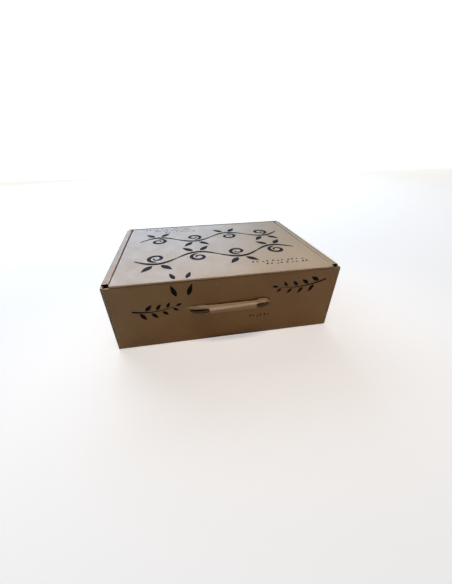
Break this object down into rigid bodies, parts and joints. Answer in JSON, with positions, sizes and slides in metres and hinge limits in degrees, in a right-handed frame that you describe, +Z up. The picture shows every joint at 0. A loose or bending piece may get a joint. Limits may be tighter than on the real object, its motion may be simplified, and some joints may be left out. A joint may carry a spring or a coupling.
{
  "type": "cardboard handle box",
  "caption": "Flat corrugated carrying box with a hinged lid between rolled-over side walls and a strap handle cut from the front wall.",
  "frame": {"origin": "centre of the base underside, on the surface that the box stands on", "axes": "+X along the handle wall, +Y from the handle wall to the far wall, +Z up"},
  "size_m": [0.34, 0.2603, 0.1102],
  "materials": {
    "board": "matt uncoated kraft liner",
    "lid_board": "matt uncoated kraft liner",
    "ink": "matt ink soaked into the liner"
  },
  "bodies": {
    "tray": {"tray": "board", "wall_print": "ink"},
    "lid": {"lid": "lid_board", "lid_print": "ink"}
  },
  "joints": [
    {"name": "lid_fold", "type": "hinge", "parent": "tray", "child": "lid", "pos_m": [0, -0.1235, 0.1085], "axis": [1, 0, 0], "range_deg": [0, 180]}
  ]
}
